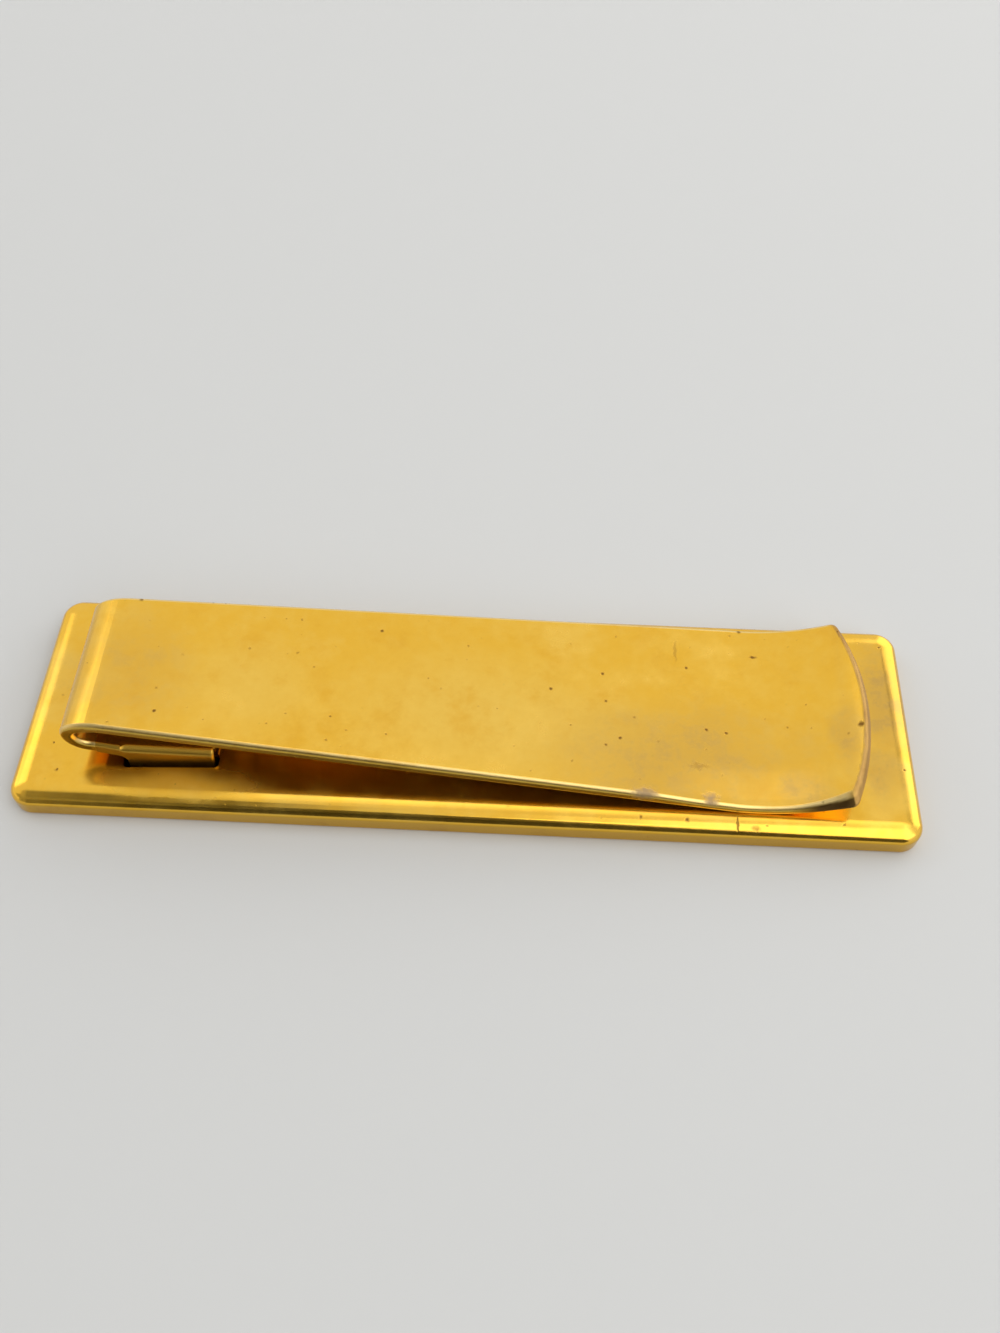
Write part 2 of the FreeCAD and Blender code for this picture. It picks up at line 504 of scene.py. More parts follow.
class Effects:
    """Shader node groups that several finishes share, each built once."""

    CLOUD_ROUGHNESS = 0.68
    LINE_DETAIL = 3.0
    SPOT_DETAIL = 3.0
    SPECK_DETAIL = 2.0
    SPECK_GRAIN = 6000.0
    SPECK_RAGGED = 0.00016
    SPECK_SMALLEST = 0.3
    SPECK_CORE = 0.2
    SPECK_STRENGTH = 0.85

    @staticmethod
    def start(name: str, numbers: dict[str, float], vectors: Sequence[str],
              output: str) -> tuple[Nodes, bpy.types.Node, bpy.types.Node]:
        """Open a new group with its sockets.

        Args:
            name: The group's name.
            numbers: Number inputs with their defaults.
            vectors: Vector inputs.
            output: Name of its one number output.

        Returns:
            The group's nodes, its input node and its output node.
        """
        tree = bpy.data.node_groups.new(name, "ShaderNodeTree")
        for socket in vectors:
            tree.interface.new_socket(name=socket, in_out="INPUT", socket_type="NodeSocketVector")
        for socket, value in numbers.items():
            made = tree.interface.new_socket(name=socket, in_out="INPUT", socket_type="NodeSocketFloat")
            made.default_value = value
        tree.interface.new_socket(name=output, in_out="OUTPUT", socket_type="NodeSocketFloat")
        nodes = Nodes(tree)
        return nodes, nodes.add("NodeGroupInput"), nodes.add("NodeGroupOutput")

    @staticmethod
    def ragged(nodes: Nodes, place: bpy.types.NodeSocket, grain: object, detail: float,
               amount: object) -> bpy.types.NodeSocket:
        """Shift coordinates to and fro, so that an outline drawn on them is ragged.

        Args:
            nodes: The group's nodes.
            place: The coordinates.
            grain: How fine the shifts are.
            detail: How many finer shifts are added.
            amount: How far they go, in metres.

        Returns:
            The shifted coordinates.
        """
        noise = nodes.noise(place, Scale=grain, Detail=detail)
        centred = nodes.vector("SUBTRACT", noise.outputs[1], (0.5, 0.5, 0.5)).outputs[0]
        offset = nodes.feed(nodes.vector("SCALE", centred), Scale=amount)
        return nodes.vector("ADD", place, offset.outputs[0]).outputs[0]

    @staticmethod
    @cache
    def clouding() -> bpy.types.NodeTree:
        """Soft blotches, as handling leaves them on metal.

        Returns:
            The group, whose mask is 1 where a blotch is full.
        """
        nodes, inlet, outlet = Effects.start(
            "clouding", {"Scale": 200.0, "Detail": 3.0, "Low": 0.45, "High": 0.65}, ["Coordinates"], "Mask")
        noise = nodes.noise(inlet.outputs["Coordinates"], Scale=inlet.outputs["Scale"],
                            Detail=inlet.outputs["Detail"], Roughness=Effects.CLOUD_ROUGHNESS)
        mask = nodes.ramp(noise.outputs[0], inlet.outputs["Low"], inlet.outputs["High"])
        nodes.feed(outlet, Mask=mask)
        return nodes.tree

    @staticmethod
    @cache
    def specks() -> bpy.types.NodeTree:
        """Scattered small specks of dirt, each with its own size.

        Returns:
            The group, whose mask is highest inside a speck.
        """
        nodes, inlet, outlet = Effects.start(
            "specks", {"Scale": 500.0, "Share": 0.3, "Size": 0.15}, ["Coordinates"], "Mask")
        ragged = Effects.ragged(nodes, inlet.outputs["Coordinates"], Effects.SPECK_GRAIN,
                                Effects.SPECK_DETAIL, Effects.SPECK_RAGGED)
        cells = nodes.feed(nodes.add("ShaderNodeTexVoronoi"), Vector=ragged, Scale=inlet.outputs["Scale"])
        chance = nodes.feed(nodes.add("ShaderNodeSeparateColor"), Color=cells.outputs["Color"])
        chosen = nodes.math("LESS_THAN", chance.outputs[0], inlet.outputs["Share"])
        size = nodes.math("ADD", nodes.math("POWER", chance.outputs[1], 2.0), Effects.SPECK_SMALLEST)
        reach = nodes.times(inlet.outputs["Size"], size)
        core = nodes.times(reach, Effects.SPECK_CORE)
        inside = nodes.ramp(cells.outputs["Distance"], core, reach, Effects.SPECK_STRENGTH, 0.0)
        nodes.feed(outlet, Mask=nodes.times(chosen, inside))
        return nodes.tree

    @staticmethod
    @cache
    def brushing() -> bpy.types.NodeTree:
        """Fine lines along the clip, as rolling and buffing leave them.

        Returns:
            The group, whose height runs from 0 to 1.
        """
        nodes, inlet, outlet = Effects.start(
            "brushing", {"Across": 9000.0, "Along": 160.0}, ["Coordinates"], "Height")
        stretch = nodes.feed(nodes.add("ShaderNodeCombineXYZ"), X=inlet.outputs["Along"],
                             Y=inlet.outputs["Across"], Z=inlet.outputs["Along"])
        drawn = nodes.vector("MULTIPLY", inlet.outputs["Coordinates"], stretch.outputs[0]).outputs[0]
        noise = nodes.noise(drawn, Scale=1.0, Detail=Effects.LINE_DETAIL)
        nodes.feed(outlet, Height=noise.outputs[0])
        return nodes.tree

    @staticmethod
    @cache
    def spot() -> bpy.types.NodeTree:
        """One ragged spot at a place.

        Returns:
            The group, whose mask is 1 inside the spot.
        """
        nodes, inlet, outlet = Effects.start(
            "spot", {"Radius": 0.0003, "Soft": 0.35, "Ragged": 0.0002, "Grain": 4000.0},
            ["Coordinates", "Centre", "Stretch"], "Mask")
        ragged = Effects.ragged(nodes, inlet.outputs["Coordinates"], inlet.outputs["Grain"],
                                Effects.SPOT_DETAIL, inlet.outputs["Ragged"])
        away = nodes.vector("SUBTRACT", ragged, inlet.outputs["Centre"]).outputs[0]
        stretched = nodes.vector("MULTIPLY", away, inlet.outputs["Stretch"]).outputs[0]
        reach = nodes.vector("LENGTH", stretched).outputs[1]
        radius = inlet.outputs["Radius"]
        inner = nodes.times(radius, nodes.math("SUBTRACT", 1.0, inlet.outputs["Soft"]))
        nodes.feed(outlet, Mask=nodes.ramp(reach, inner, radius, 1.0, 0.0))
        return nodes.tree


@dataclass(frozen=True)
class Mark:
    """One mark of wear at a place on a piece, in millimetres."""

    place: Point
    radius: float
    stretch: Point = (1.0, 1.0, 1.0)
    soft: float = 0.8
    ragged: float = 0.25
    strength: float = 0.9
    grain: float = 4000.0


@dataclass(frozen=True)
class Overlay:
    """Colours and roughness that take over in one zone of a finish."""

    zone: Zone
    colour: Colour
    deep: Colour
    rough: float
    strength: float = 1.0


@dataclass(frozen=True)
class Clouds:
    """One kind of blotches in a finish, and how much of its colour they show."""

    scale: float
    detail: float
    low: float
    high: float
    share: float


@dataclass(frozen=True)
class GiltFinish:
    """Gold plating over brass, with the handling and dirt that it has picked up; some of its zones and
    colours carry painted light and shade.
    """

    name: str
    rough_low: float
    rough_high: float
    gold: Colour = (0.92, 0.53, 0.056)
    pale: Colour = (0.93, 0.60, 0.11)
    deep: Colour = (0.84, 0.44, 0.035)
    stain: Colour = (0.66, 0.405, 0.095)
    dirt: Colour = (0.19, 0.085, 0.018)
    bare: Colour = (0.38, 0.26, 0.15)
    blotches: Clouds = Clouds(130.0, 4.0, 0.44, 0.66, 0.7)
    shadows: Clouds = Clouds(320.0, 5.0, 0.5, 0.72, 0.56)
    haze: Clouds = Clouds(2200.0, 2.0, 0.3, 0.75, 0.16)
    mottle: Clouds = Clouds(800.0, 6.0, 0.38, 0.72, 0.36)
    blotch_wear: float = 0.55
    mottle_wear: float = 0.45
    speck_scale: float = 1300.0
    speck_share: float = 0.9
    speck_size: float = 0.13
    speck_faintest: float = 0.6
    stain_weakest: float = 0.75
    stain_strongest: float = 1.4
    scuff_rough: float = 0.4
    mark_rough: float = 0.3
    pit_depth: float = 0.00001
    brush_depth: float = 0.00000025
    wave_scale: float = 260.0
    wave_detail: float = 1.0
    wave_depth: float = 0.00001
    pale_marks: tuple[Mark, ...] = ()
    stain_marks: tuple[Mark, ...] = ()
    dirt_marks: tuple[Mark, ...] = ()
    bare_marks: tuple[Mark, ...] = ()
    scuff_marks: tuple[Mark, ...] = ()
    overlays: tuple[Overlay, ...] = ()

    def effect(self, nodes: Nodes, tree: bpy.types.NodeTree, place: bpy.types.NodeSocket,
               **values: object) -> bpy.types.NodeSocket:
        """Place a shared effect with its own values, and give its output."""
        node = nodes.add("ShaderNodeGroup", node_tree=tree)
        return nodes.feed(node, Coordinates=place, **values).outputs[0]

    def clouds(self, nodes: Nodes, place: bpy.types.NodeSocket, kind: Clouds) -> bpy.types.NodeSocket:
        """Place one kind of blotches, and give their mask."""
        return self.effect(nodes, Effects.clouding(), place, Scale=kind.scale, Detail=kind.detail,
                           Low=kind.low, High=kind.high)

    def marks(self, nodes: Nodes, place: bpy.types.NodeSocket, marks: Sequence[Mark],
              mask: object = 0.0) -> object:
        """Add single marks to a mask.

        Args:
            nodes: The material's nodes.
            place: The coordinates that the marks read.
            marks: The marks to add.
            mask: The mask so far, as a value or socket.

        Returns:
            The mask with the marks in it.
        """
        for mark in marks:
            centre = [c * METRES_PER_MM + PATTERN_SHIFT for c in mark.place]
            spot = self.effect(nodes, Effects.spot(), place, Centre=centre, Stretch=mark.stretch,
                               Radius=mark.radius * METRES_PER_MM, Soft=mark.soft,
                               Ragged=mark.ragged * METRES_PER_MM, Grain=mark.grain)
            mask = nodes.math("MAXIMUM", mask, nodes.times(spot, mark.strength))
        return mask

    def relief(self, nodes: Nodes, place: bpy.types.NodeSocket, marked: object) -> bpy.types.NodeSocket:
        """Lay fine lines, broad waves and pits over each other.

        Args:
            nodes: The material's nodes.
            place: The coordinates that the relief reads.
            marked: The mask of the marks that lie deeper.

        Returns:
            The normal.
        """
        brushed = self.effect(nodes, Effects.brushing(), place)
        wave = nodes.noise(place, Scale=self.wave_scale, Detail=self.wave_detail)
        pits = nodes.math("SUBTRACT", 1.0, marked)
        layer = nodes.feed(nodes.add("ShaderNodeBump"), Distance=self.brush_depth, Height=brushed)
        for depth, height in ((self.wave_depth, wave.outputs[0]), (self.pit_depth, pits)):
            layer = nodes.feed(nodes.add("ShaderNodeBump"), Distance=depth, Height=height,
                               Normal=layer.outputs[0])
        return layer.outputs[0]

    def material(self) -> bpy.types.Material:
        """Build the material.

        Returns:
            The finished material.
        """
        made, nodes, shader = new_material(self.name)
        origin = nodes.add("ShaderNodeTexCoord").outputs["Object"]
        place = nodes.vector("ADD", origin, (PATTERN_SHIFT,) * 3).outputs[0]
        blotch = self.clouds(nodes, place, self.blotches)
        deeper = self.clouds(nodes, place, self.shadows)
        haze = self.clouds(nodes, place, self.haze)
        mottle = self.clouds(nodes, place, self.mottle)
        speck = self.effect(nodes, Effects.specks(), place, Scale=self.speck_scale, Share=self.speck_share,
                            Size=self.speck_size)
        faint = nodes.times(speck, nodes.ramp(deeper, 0.0, 1.0, self.speck_faintest, 1.0))
        dirt = self.marks(nodes, place, self.dirt_marks, faint)
        broken = nodes.ramp(mottle, 0.0, 1.0, self.stain_weakest, self.stain_strongest)
        stained = nodes.times(self.marks(nodes, place, self.stain_marks), broken, clamp=True)
        bare = self.marks(nodes, place, self.bare_marks)
        marked = nodes.math("MAXIMUM", dirt, bare)
        paler = self.marks(nodes, place, self.pale_marks, nodes.times(blotch, self.blotches.share))
        colour = nodes.blend(paler, self.gold, self.pale)
        for mask, kind, tint in ((deeper, self.shadows, self.deep), (haze, self.haze, self.deep),
                                 (mottle, self.mottle, self.pale)):
            colour = nodes.blend(nodes.times(mask, kind.share), colour, tint)
        colour = nodes.blend(stained, colour, self.stain)
        worn = nodes.math("ADD", nodes.times(blotch, self.blotch_wear), nodes.times(mottle, self.mottle_wear))
        rough = nodes.ramp(worn, 0.0, 1.0, self.rough_low, self.rough_high)
        if self.scuff_marks:
            scuffed = self.marks(nodes, place, self.scuff_marks)
            rough = nodes.math("ADD", rough, nodes.times(scuffed, self.scuff_rough))
        # The zones lay wear, painted shade and painted light over the colour.
        for overlay in self.overlays:
            zone = nodes.add("ShaderNodeAttribute", attribute_name=overlay.zone.value).outputs["Fac"]
            share = nodes.times(zone, overlay.strength)
            colour = nodes.blend(share, colour, nodes.blend(deeper, overlay.colour, overlay.deep))
            change = nodes.times(share, nodes.math("SUBTRACT", overlay.rough, rough))
            rough = nodes.math("ADD", rough, change)
        colour = nodes.blend(bare, colour, self.bare)
        colour = nodes.blend(dirt, colour, self.dirt)
        rough = nodes.math("ADD", rough, nodes.times(marked, self.mark_rough), clamp=True)
        shader.inputs["Metallic"].default_value = 1.0
        nodes.feed(shader, Base_Color=colour, Roughness=rough, Normal=self.relief(nodes, place, marked))
        return made


@dataclass(frozen=True)
class SlotCut:
    """Where one slot goes in the tray's back wall, seen from above, with its turn in radians."""

    middle: tuple[float, float]
    turn: float
    length: float


@dataclass
class PressedTray:
    """Shallow tray, pressed from sheet, whose back carries the spring."""

    length: float = 50.0
    width: float = 13.8
    depth: float = 1.6
    corner_radius: float = 1.2
    shoulder_width: float = 0.85
    shoulder_drop: float = 0.25
    shoulder_round: float = 0.38
    shoulder_strips: int = 10
    crest_round: float = 0.30
    inner_edge_radius: float = 0.45
    front_edge_radius: float = 0.2
    wall: float = 0.35
    lip_thickness: float = 0.25
    lip_width: float = 0.75
    window_radius: float = 0.45
    overrun: float = 0.5
    slot_width: float = 0.87
    slot_radius: float = 0.25
    flat_band: Band = Band(0.15, 0.5)
    piece: bpy.types.Object | None = None

    def body(self) -> bpy.types.Object:
        """Make the tray's outside, with a sloping shoulder round its back.

        Returns:
            The solid.
        """
        x, y = self.length / 2, self.width / 2
        slope = self.shoulder_drop / self.shoulder_width
        tall = self.depth / slope
        piece = Bench.rounded_block("tray_back", (-x, -y, 0.0), (x, y, tall), self.corner_radius)
        with Bench.editing(piece):
            Bench.round_level(piece, tall, self.shoulder_width, Bench.CHAMFER_STRIPS)
            bpy.ops.mesh.select_all(action="SELECT")
            bpy.ops.transform.resize(value=(1.0, 1.0, slope), center_override=(0.0, 0.0, 0.0))
            Bench.round_level(piece, self.depth - self.shoulder_drop, self.shoulder_round,
                              self.shoulder_strips)
            Bench.round_level(piece, self.depth, self.crest_round, Bench.UPPER_STRIPS)
            Bench.round_level(piece, 0.0, self.front_edge_radius, Bench.LOWER_STRIPS)
        return piece

    def hollow(self) -> bpy.types.Object:
        """Make the solid that is cut out of the inside.

        Returns:
            The solid.
        """
        x, y = self.length / 2 - self.wall, self.width / 2 - self.wall
        return Bench.rounded_block("hollow", (-x, -y, self.lip_thickness), (x, y, self.depth - self.wall),
                                   self.corner_radius - self.wall, self.inner_edge_radius)

    def window(self) -> bpy.types.Object:
        """Make the solid that opens the front.

        Returns:
            The solid.
        """
        x, y = self.length / 2 - self.lip_width, self.width / 2 - self.lip_width
        top = self.lip_thickness + self.overrun
        return Bench.rounded_block("window", (-x, -y, -self.overrun), (x, y, top), self.window_radius)

    def slot(self, cut: SlotCut) -> bpy.types.Object:
        """Make the solid that cuts one slot in the back wall.

        Args:
            cut: Where the slot goes.

        Returns:
            The solid.
        """
        x, y = cut.length / 2, self.slot_width / 2
        cutter = Bench.rounded_block("slot", (-x, -y, -self.wall - self.overrun), (x, y, self.overrun),
                                     self.slot_radius)
        Bench.hold(cutter)
        cutter.rotation_euler = (0.0, 0.0, cut.turn)
        cutter.location = (*cut.middle, self.depth)
        Bench.settle()
        return cutter

    def build(self, slots: Sequence[SlotCut]) -> None:
        """Press the tray and cut its slots.

        Args:
            slots: Where the slots go.
        """
        self.piece = self.body()
        Bench.combine(self.piece, self.hollow(), Combine.CUT)
        Bench.combine(self.piece, self.window(), Combine.CUT)
        for cut in slots:
            Bench.combine(self.piece, self.slot(cut), Combine.CUT)
        Bench.finish(self.piece)

    def in_hollow(self, face: bmesh.types.BMFace) -> bool:
        """Say whether a face of the finished tray belongs to its hollow.

        Args:
            face: The face, in metres.

        Returns:
            Whether all its points lie in the hollow or on its walls.
        """
        x, y = (side / 2 - self.wall + NEAR for side in (self.length, self.width))
        low, high = self.lip_thickness - NEAR, self.depth - self.wall + NEAR
        points = [v.co / METRES_PER_MM for v in face.verts]
        return all(abs(p.x) < x and abs(p.y) < y and low < p.z < high for p in points)

    def dress(self, outside: bpy.types.Material, inside: bpy.types.Material) -> None:
        """Give the tray its finishes and its place in the part.

        Args:
            outside: Finish of what shows.
            inside: Finish of the hollow; the near-black finish given to it is painted shade.
        """
        # The upright walls are marked for the darker wall colour: painted shade.
        Bench.mark_zones(self.piece, lambda _, normal: {Zone.WALL: 1.0 - self.flat_band.rise(abs(normal.z))})
        Bench.coat(self.piece, outside, inside)
        with Bench.editing(self.piece):
            Bench.pick(self.piece, Pick.FACES, self.in_hollow)
            self.piece.active_material_index = 1
            bpy.ops.object.material_slot_assign()
        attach(self.piece, Body.PLATE.value)
        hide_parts("back_tray")
        log.info("%s: pressed tray with lip, window and two slots", self.piece.name)


@dataclass
class FacePanel:
    """Plain panel held behind the tray's lip."""

    clearance: float = 0.05
    thickness: float = 0.3
    edge_radius: float = 0.04
    piece: bpy.types.Object | None = None

    def build(self, tray: PressedTray) -> None:
        """Make the panel with its raised field.

        Args:
            tray: The tray that holds it.
        """
        x, y = (side / 2 - tray.wall - self.clearance for side in (tray.length, tray.width))
        top = tray.lip_thickness + self.thickness
        corner = tray.corner_radius - tray.wall - self.clearance
        self.piece = Bench.rounded_block("face_panel_plain", (-x, -y, tray.lip_thickness), (x, y, top),
                                         corner, self.edge_radius, self.edge_radius)
        x, y = (side / 2 - tray.lip_width - self.clearance for side in (tray.length, tray.width))
        raised = Bench.rounded_block("field", (-x, -y, 0.0), (x, y, top - self.edge_radius),
                                     tray.window_radius, bottom=self.edge_radius)
        Bench.combine(self.piece, raised, Combine.WELD)
        Bench.finish(self.piece)

    def dress(self, finish: bpy.types.Material) -> None:
        """Give the panel its finish and its place in the part.

        Args:
            finish: Finish of the whole panel.
        """
        Bench.coat(self.piece, finish)
        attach(self.piece, Body.PLATE.value)
        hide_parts("face_panel")
        log.info("%s: panel behind the lip", self.piece.name)


@dataclass
class HairpinSpring:
    """One strip, bent into a foot with ears, a roll and an arm with an upturned lip."""

    tray: PressedTray
    thickness: float = 0.8
    roll_width: float = 8.6
    lip_width: float = 11.7
    roll_radius: float = 1.55
    roll_inset: float = 3.2
    roll_reach: float = 0.8
    foot_rise: float = 0.8
    arm_length: float = 35.2
    lip_bend_radius: float = 12.0
    lip_length: float = 7.7
    lip_bulge: float = 1.25
    lip_corner_radius: float = 0.3
    rest_gap: float = 0.1
    ear_start: float = 1.8
    ear_length: float = 4.8
    ear_flare: float = 0.25
    ear_thickness: float = 0.5
    ear_bend_radius: float = 0.5
    ear_root_radius: float = 0.45
    ear_end_radius: float = 0.16
    ear_fold_length: float = 1.2
    ear_drop: float = 3.5
    slot_front_gap: float = 0.20
    slot_end_gap: float = 0.25
    slot_back_gap: float = 0.04
    rim_radius: float = 0.26
    foot_rim_radius: float = 0.12
    under_rim_radius: float = 0.28
    corner_press: float = 0.62
    corner_press_reach: float = 4.2
    corner_press_start: float = 0.36
    margin_rows: tuple[float, ...] = (0.70, 1.41, 2.13, 2.86)
    margin_step: float = 0.4
    margin_steps: int = 27
    margin_start: float = 2.0
    margin_drop: float = 0.14
    margin_reach: float = 3.2
    seam_shift: float = 0.2
    turn_steps: int = 120
    end_facets: int = 17
    roll_rows: int = 56
    reach_rows: int = 16
    lip_rows: int = 44
    rim_strips: int = 4
    lip_corner_strips: int = 5
    ear_root_strips: int = 6
    ear_bend_strips: int = 9
    foot_side_band: Band = Band(0.1, 0.4)
    foot_under_band: Band = Band(0.4, 0.8)
    side_band: Band = Band(0.72, 0.95)
    rim_band: Band = Band(0.05, 0.3)
    rim_fade: Band = Band(0.62, 0.85)
    end_band: Band = Band(0.05, 0.4)
    end_run: Band = Band(20.4, 21.0)
    under_band: Band = Band(0.2, 0.5)
    painted_deep_shade_band: Band = Band(0.5, 0.75)
    painted_deep_shade_run: Band = Band(17.3, 19.3)
    roll_inner_band: Band = Band(0.2, 0.6)
    roll_under_band: Band = Band(0.3, 0.7)
    roll_side_fade: Band = Band(0.15, 0.5)
    pieces: dict[str, bpy.types.Object] = field(default_factory=dict)

    @property
    def inner_radius(self) -> float:
        """Radius of the roll's inside."""
        return self.roll_radius - self.thickness

    @property
    def taper(self) -> float:
        """How much half the strip's width grows per millimetre."""
        return (self.lip_width - self.roll_width) / 2 / self.arm_length

    @property
    def roll_place(self) -> tuple[float, float]:
        """Where the middle of the roll is, along the clip and above the floor."""
        return (self.roll_inset + self.roll_radius - self.tray.length / 2,
                self.tray.depth + self.foot_rise + self.roll_radius)

    @property
    def tilt(self) -> float:
        """Angle that lays the lip on the tray's back.

        Returns:
            The angle in radians.
        """
        reach = self.inner_radius + self.lip_bend_radius
        drop = self.tray.depth + self.rest_gap + self.lip_bend_radius - self.roll_place[1]
        return math.acos(drop / math.hypot(reach, self.arm_length)) - math.atan2(self.arm_length, reach)

    @property
    def foot_length(self) -> float:
        """Length of the foot."""
        return self.ear_start + self.ear_length

    @property
    def end_way(self) -> Vector:
        """The way that the strip points at its free end."""
        angle = self.lip_length / self.lip_bend_radius - self.tilt
        return Vector((math.cos(angle), 0.0, math.sin(angle)))

    def turn(self) -> list[tuple[float, float]]:
        """Draw the inner face round the roll: a quarter circle, then a quarter ellipse onto the arm.

        Returns:
            The points, about the roll's middle and before the tilt.
        """
        radius, long = self.inner_radius, self.inner_radius + self.roll_reach
        angles = [math.pi / 2 * n / self.turn_steps for n in range(self.turn_steps + 1)]
        below = [(-radius * math.sin(a), -radius * math.cos(a)) for a in angles]
        above = [(self.roll_reach - long * math.cos(a), radius * math.sin(a)) for a in angles[1:]]
        return below + above

    @property
    def stations(self) -> tuple[float, float, float, float]:
        """Where the strip changes, along its length.

        Returns:
            Where the roll starts and ends, where the lip starts and where the strip ends.
        """
        points = self.turn()
        round_roll = sum(math.dist(a, b) for a, b in zip(points, points[1:]))
        roll_end = self.foot_length + round_roll - self.roll_reach
        lip_start = roll_end + self.arm_length
        return self.foot_length, roll_end, lip_start, lip_start + self.lip_length

    def foot_half_width(self, run: float) -> float:
        """Give half the strip's width on the foot, which flares to its ears.

        Args:
            run: The distance from the roll.

        Returns:
            Half the width.
        """
        middle = self.roll_radius - self.thickness / 2
        flare = self.ear_flare * min(run / self.ear_start, 1.0)
        return self.roll_width / 2 - self.taper * (math.pi * middle + run) + flare

    def path(self) -> list[tuple[float, float]]:
        """Draw the strip's inner face from the foot's end to past the lip.

        Returns:
            The points, along the clip and above the floor.
        """
        radius, bend = self.inner_radius, self.lip_bend_radius
        span = (self.lip_length + self.tray.overrun) / bend
        angles = [span * n / self.turn_steps for n in range(self.turn_steps + 1)]
        lip = [(self.arm_length + bend * math.sin(a), radius + bend * (1 - math.cos(a))) for a in angles]
        cos, sin = math.cos(self.tilt), math.sin(self.tilt)
        return [(self.roll_place[0] + x * cos + z * sin, self.roll_place[1] - x * sin + z * cos)
                for x, z in [(self.foot_length, -radius), *self.turn(), *lip]]

    def slots(self) -> list[SlotCut]:
        """Say where the tray's slots go.

        Returns:
            The two slots.
        """
        level = self.tray.depth - self.tray.wall
        lean = math.tan(self.tilt)
        ends = [self.roll_place[0] + run / math.cos(self.tilt) + (level - self.roll_place[1]) * lean
                for run in (self.ear_start, self.foot_length)]
        offset = (self.slot_front_gap - self.ear_thickness - self.slot_back_gap) / 2
        away = self.foot_half_width(self.ear_start + self.ear_length / 2) + offset
        length = self.ear_length + 2 * self.slot_end_gap
        return [SlotCut((sum(ends) / 2, side * away), -side * math.atan(self.taper), length)
                for side in (-1, 1)]

    @staticmethod
    def bring_to_width(piece: bpy.types.Object, widths: dict[float, float], full: float) -> None:
        """Bring a flat strip to its half width at some places along it.

        Args:
            piece: The strip in edit mode, cut across at those places.
            widths: The half width at each place.
            full: The half width that the strip has.
        """
        for place, wide in widths.items():
            Bench.pick(piece, Pick.POINTS, lambda v: abs(v.co.x - place) < NEAR)
            bpy.ops.transform.resize(value=(1.0, 1.0, wide / full), center_override=(place, 0.0, 0.0))

    def blank(self) -> bpy.types.Object:
        """Cut the flat strip: along X, its thickness along Y and its width along Z.

        Returns:
            The blank, with its end rounded and its rims softened.
        """
        roll, arm, lip, end = self.stations
        half = self.lip_width / 2
        piece = Bench.block("strip_blank", (0.0, 0.0, -half), (end + self.tray.overrun, self.thickness, half))
        widths = {0.0: self.foot_half_width(self.foot_length),
                  self.ear_length: self.foot_half_width(self.ear_start),
                  roll: self.foot_half_width(0.0), arm: self.roll_width / 2}
        with Bench.editing(piece):
            Bench.cut_across((self.ear_length, roll, arm, lip))
            self.bring_to_width(piece, widths, half)
            self.round_end(piece)
            self.press_corner(piece)
            for way, radius in ((1.0, self.rim_radius), (-1.0, self.under_rim_radius)):
                Bench.pick(piece, Pick.EDGES, lambda e: self.is_rim(e, way))
                Bench.round_edges(radius, self.rim_strips)
        return piece

    @staticmethod
    def is_rim(edge: bmesh.types.BMEdge, way: float) -> bool:
        """Say whether an edge of the blank lies between its upper or under face and a side."""
        normals = sorted(way * f.normal.y for f in edge.link_faces)
        return len(normals) == 2 and normals[1] > FACING and normals[0] < SLANTED

    def round_end(self, piece: bpy.types.Object) -> None:
        """Cut the blank's convex end and round its two corners.

        Args:
            piece: The blank in edit mode.
        """
        end, half = self.stations[3], self.lip_width / 2
        radius = (half ** 2 + self.lip_bulge ** 2) / 2 / self.lip_bulge
        span = math.asin(half / radius)
        for step in range(self.end_facets):
            angle = span * (2 * step / (self.end_facets - 1) - 1)
            normal = (math.cos(angle), 0.0, math.sin(angle))
            Bench.cut((end - radius + radius * normal[0], 0.0, radius * normal[2]), normal, Keep.BEHIND)
        Bench.pick(piece, Pick.EDGES, lambda e: self.is_corner(e, half))
        Bench.round_edges(self.lip_corner_radius, self.lip_corner_strips)

    def is_corner(self, edge: bmesh.types.BMEdge, half: float) -> bool:
        """Say whether an edge stands at a corner of the blank's free end.

        Args:
            edge: The edge.
            half: Half the width of the end.

        Returns:
            Whether it stands there.
        """
        a, b = (v.co for v in edge.verts)
        upright = abs(a.y - b.y) > self.thickness / 2
        at_end = a.x > self.stations[3] - 2 * self.lip_bulge
        return upright and at_end and abs(a.z) > half - self.lip_corner_radius / 4

    def press_corner(self, piece: bpy.types.Object) -> None:
        """Turn down the lip's front margin and lean its side inwards at the corner, where it is rubbed.

        Args:
            piece: The blank in edit mode.
        """
        _, _, lip, end = self.stations
        start = end - self.lip_bulge - 2 * self.lip_corner_radius
        half = self.lip_width / 2
        Bench.cut_across(start - step * self.margin_step for step in range(self.margin_steps))
        for inset in self.margin_rows:
            Bench.pick(piece, Pick.FACES, lambda f: f.normal.y > FACING
                       and f.calc_center_median().x > lip - self.margin_start - self.margin_reach)
            Bench.cut((0.0, 0.0, half - inset), (0.0, 0.0, 1.0), whole=False)
        Bench.pick(piece, Pick.POINTS, lambda v: v.co.y < self.thickness / 2)
        bpy.ops.mesh.hide(unselected=False)
        Bench.pick(piece, Pick.POINTS,
                   lambda v: v.co.x > lip - self.margin_start and v.co.z > half - self.margin_rows[0] / 2)
        bpy.ops.transform.translate(value=(0.0, -self.margin_drop, 0.0), use_proportional_edit=True,
                                    proportional_edit_falloff="SMOOTH", proportional_size=self.margin_reach)
        Bench.pick(piece, Pick.POINTS,
                   lambda v: v.co.x > start + NEAR and v.co.z > half - self.corner_press_start)
        bpy.ops.transform.translate(value=(0.0, 0.0, -self.corner_press), use_proportional_edit=True,
                                    proportional_edit_falloff="SHARP",
                                    proportional_size=self.corner_press_reach)
        bpy.ops.mesh.reveal(select=False)

